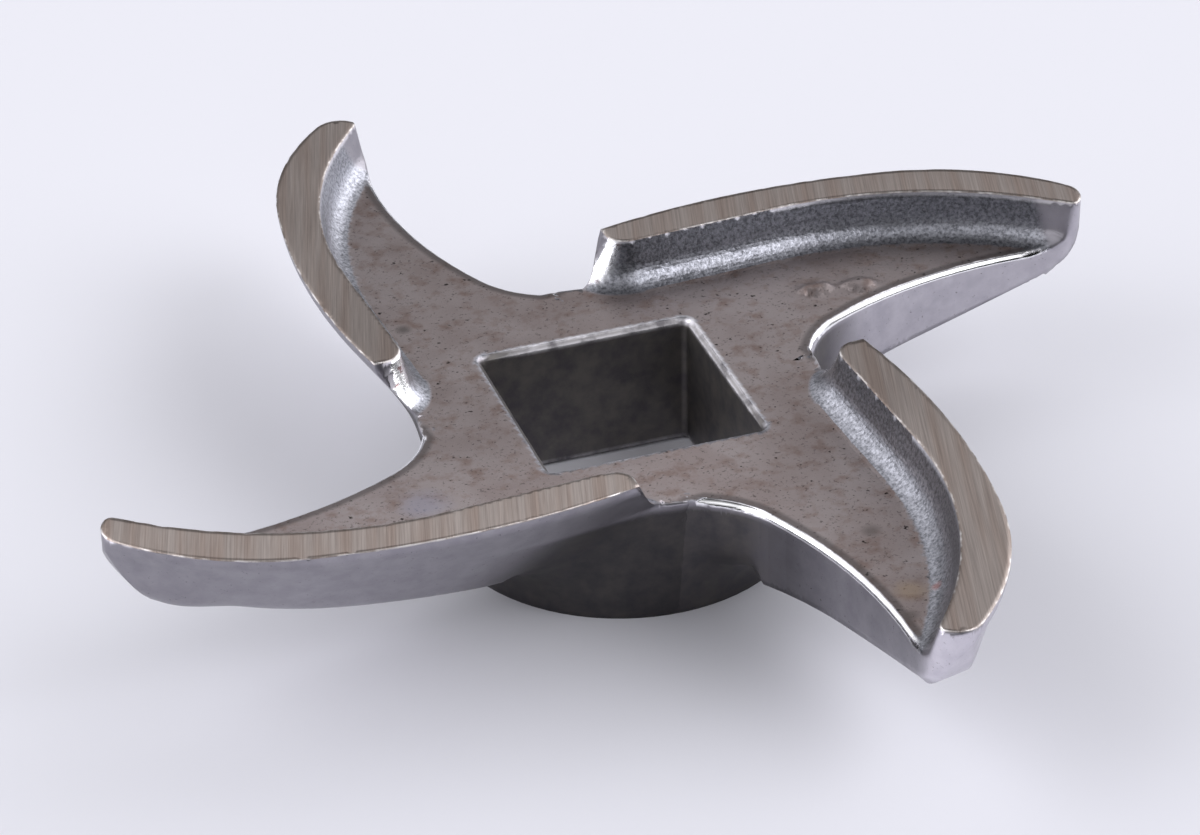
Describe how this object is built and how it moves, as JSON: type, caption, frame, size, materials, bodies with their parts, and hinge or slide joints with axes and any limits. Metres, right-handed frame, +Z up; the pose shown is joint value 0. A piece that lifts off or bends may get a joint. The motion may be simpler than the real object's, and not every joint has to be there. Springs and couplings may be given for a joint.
{
  "type": "meat grinder knife",
  "caption": "Cast steel meat grinder knife: curved arms with flat ground cutting lands, a flared hub and a square drive hole.",
  "frame": {"origin": "on the axis of the square hole, at the hub's bottom face, which the knife stands on", "axes": "+Z up along the hole, from the hub's bottom to the ground lands; +X along one arm's root, square to a flat of the hole"},
  "size_m": [0.0602, 0.0602, 0.0105],
  "materials": {
    "cast_steel": "as-cast web and sides with stains and small pits, ground flat lands, polished edges"
  },
  "bodies": {
    "root": {"grinder_knife": "cast_steel"}
  },
  "joints": []
}
